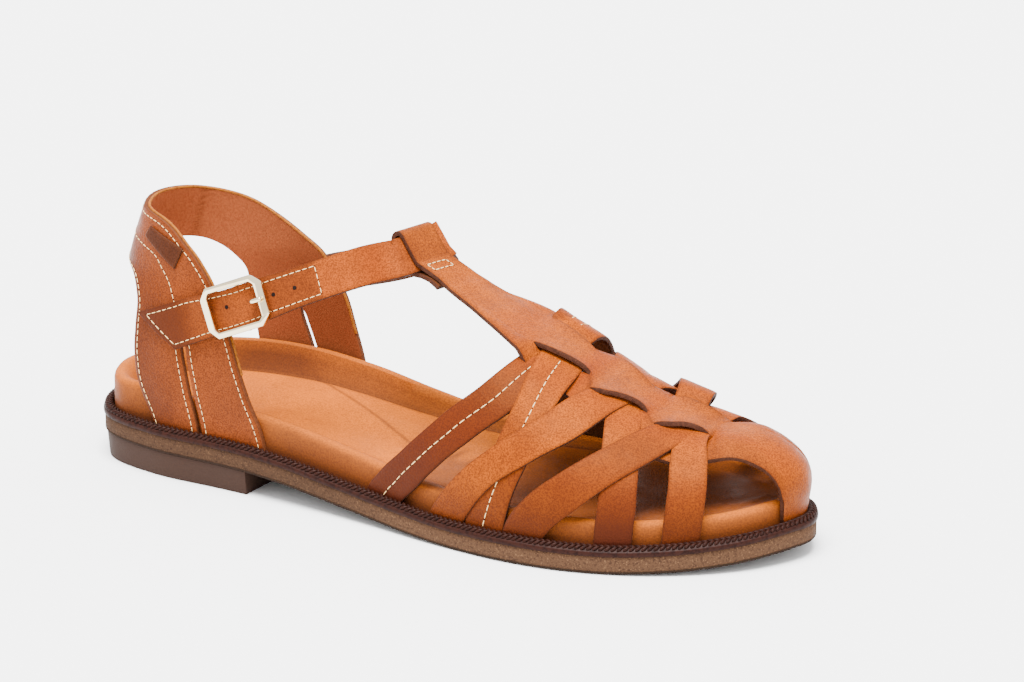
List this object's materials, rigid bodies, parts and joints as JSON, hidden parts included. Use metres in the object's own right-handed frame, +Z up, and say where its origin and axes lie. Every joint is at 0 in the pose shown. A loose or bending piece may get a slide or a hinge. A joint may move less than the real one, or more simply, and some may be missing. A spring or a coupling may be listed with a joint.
{
  "type": "t-strap sandal",
  "caption": "Right-foot leather T-strap sandal with a woven strap toe, open heel quarter, buckled ankle strap, cupped footbed and low block heel.",
  "frame": {"origin": "floor under the middle of the sole's footprint", "axes": "+X from heel to toe, +Y towards the inner side of the foot, +Z up"},
  "size_m": [0.2633, 0.0936, 0.0909],
  "materials": {
    "outsole": "matte speckled",
    "heel_block": "matte",
    "welt": "satin, braided",
    "footbed": "smooth matte",
    "upper_vamp": "satin grain",
    "upper_quarter": "satin grain",
    "ankle_strap": "satin grain",
    "buckle_frame": "polished pale gold",
    "buckle_prong": "polished pale gold",
    "side_label": "bare, satin"
  },
  "bodies": {
    "root": {"outsole": "outsole", "heel_block": "heel_block", "welt": "welt", "footbed": "footbed", "upper_vamp": "upper_vamp", "upper_quarter": "upper_quarter", "ankle_strap": "ankle_strap", "buckle_frame": "buckle_frame", "buckle_prong": "buckle_prong", "side_label": "side_label"}
  },
  "joints": []
}
